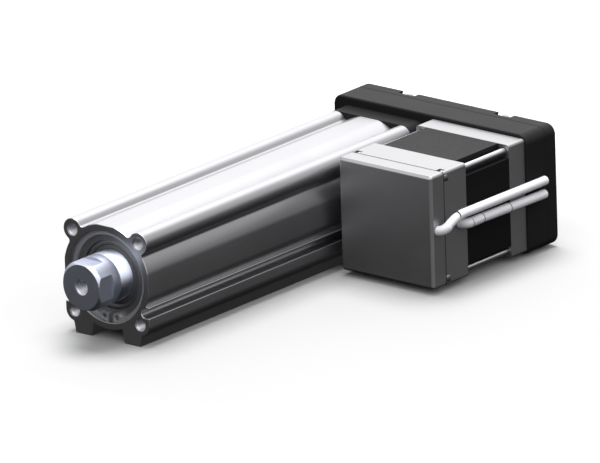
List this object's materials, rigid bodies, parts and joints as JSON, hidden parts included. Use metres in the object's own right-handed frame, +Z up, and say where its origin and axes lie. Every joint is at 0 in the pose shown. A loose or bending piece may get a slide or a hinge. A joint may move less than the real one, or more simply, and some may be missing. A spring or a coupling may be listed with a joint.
{
  "type": "electric rod actuator",
  "caption": "Electric rod actuator: extruded body with a hollow rod, a stepper motor beside it and a belt drive box across the rear, with two short leads.",
  "frame": {"origin": "centre of the four screw holes in the body's front face, on the rod's axis", "axes": "-Y the way the rod comes out, +X from the body to the motor, +Z up, away from the feet"},
  "size_m": [0.1231, 0.2485, 0.061],
  "materials": {
    "anodised_aluminium": "clear anodised, fine draw lines",
    "black_anodised_aluminium": "black anodised, satin",
    "black_lamination_steel": "black lacquer on laminations",
    "chromed_steel": "hard chrome, ground and polished",
    "ground_steel": "machined, oiled",
    "bearing_steel": "ground and polished",
    "zinc_plated_steel": "zinc plated",
    "black_oxide_steel": "black oxide",
    "spring_steel": "phosphated, oiled",
    "pulley_aluminium": "machined",
    "black_rubber": "nitrile, matt",
    "scraper_rubber": "nitrile, matt",
    "bumper_urethane": "urethane",
    "bearing_bronze": "oil-filled bronze",
    "acetal": "moulded acetal",
    "magnet": "sintered magnet",
    "copper_wire": "lacquered copper wire",
    "circuit_board": "glass-fibre board with green lacquer",
    "outlet_plastic": "moulded, light grey",
    "cable_jacket": "flexible vinyl, light grey"
  },
  "bodies": {
    "frame": {"body_tube": "anodised_aluminium", "rod_cover": "anodised_aluminium", "rod_bush": "bearing_bronze", "rod_scraper": "scraper_rubber", "cover_o_ring": "black_rubber", "cover_retaining_ring": "spring_steel", "front_bumper": "bumper_urethane", "rear_bumper": "bumper_urethane", "bearing_housing": "ground_steel", "screw_bearing_outer_rings": "bearing_steel", "bearing_retainer": "ground_steel", "return_box": "black_anodised_aluminium", "return_plate": "black_anodised_aluminium", "plate_screws": "zinc_plated_steel", "body_screws": "black_oxide_steel", "timing_belt": "black_rubber", "motor_flange": "anodised_aluminium", "motor_stator_stack": "black_lamination_steel", "motor_windings": "copper_wire", "motor_end_cap": "anodised_aluminium", "motor_cover": "anodised_aluminium", "motor_bolts": "zinc_plated_steel", "motor_bearing_outer_rings": "bearing_steel", "encoder_board": "circuit_board", "encoder_board_screws": "zinc_plated_steel", "motor_cable_outlet": "outlet_plastic", "encoder_cable_outlet": "outlet_plastic", "motor_cable": "cable_jacket", "encoder_cable": "cable_jacket"},
    "rod": {"piston_rod": "chromed_steel", "rod_socket": "ground_steel", "piston": "anodised_aluminium", "ball_nut": "ground_steel", "rotation_stopper": "acetal", "wear_ring": "acetal", "magnet_ring": "magnet"},
    "screw": {"ball_screw": "ground_steel", "screw_tip_ring": "acetal", "screw_bearing_inner_rings": "bearing_steel", "screw_lock_nut": "ground_steel", "screw_pulley": "pulley_aluminium", "screw_pulley_set_screw": "black_oxide_steel"},
    "rotor": {"motor_shaft": "ground_steel", "rotor_cores": "black_lamination_steel", "rotor_magnet": "magnet", "motor_bearing_inner_rings": "bearing_steel", "motor_pulley": "pulley_aluminium", "motor_pulley_set_screw": "black_oxide_steel", "encoder_disc": "anodised_aluminium"}
  },
  "joints": [
    {"name": "rod_slide", "type": "slide", "parent": "frame", "child": "rod", "axis": [0, -1, 0], "range_m": [0, 0.1]},
    {"name": "screw_spin", "type": "hinge", "parent": "frame", "child": "screw", "pos_m": [0, 0, 0], "axis": [0, 1, 0], "range_deg": [0, 2250.5]},
    {"name": "motor_spin", "type": "hinge", "parent": "frame", "child": "rotor", "pos_m": [0.0585, 0, 0], "axis": [0, 1, 0], "range_deg": [0, 2250.5], "deforming": ["timing_belt"]}
  ],
  "couplings": [
    {"joint": "screw_spin", "follows": "rod_slide", "rad_per_m": 392.7},
    {"joint": "motor_spin", "follows": "rod_slide", "rad_per_m": 392.7}
  ]
}
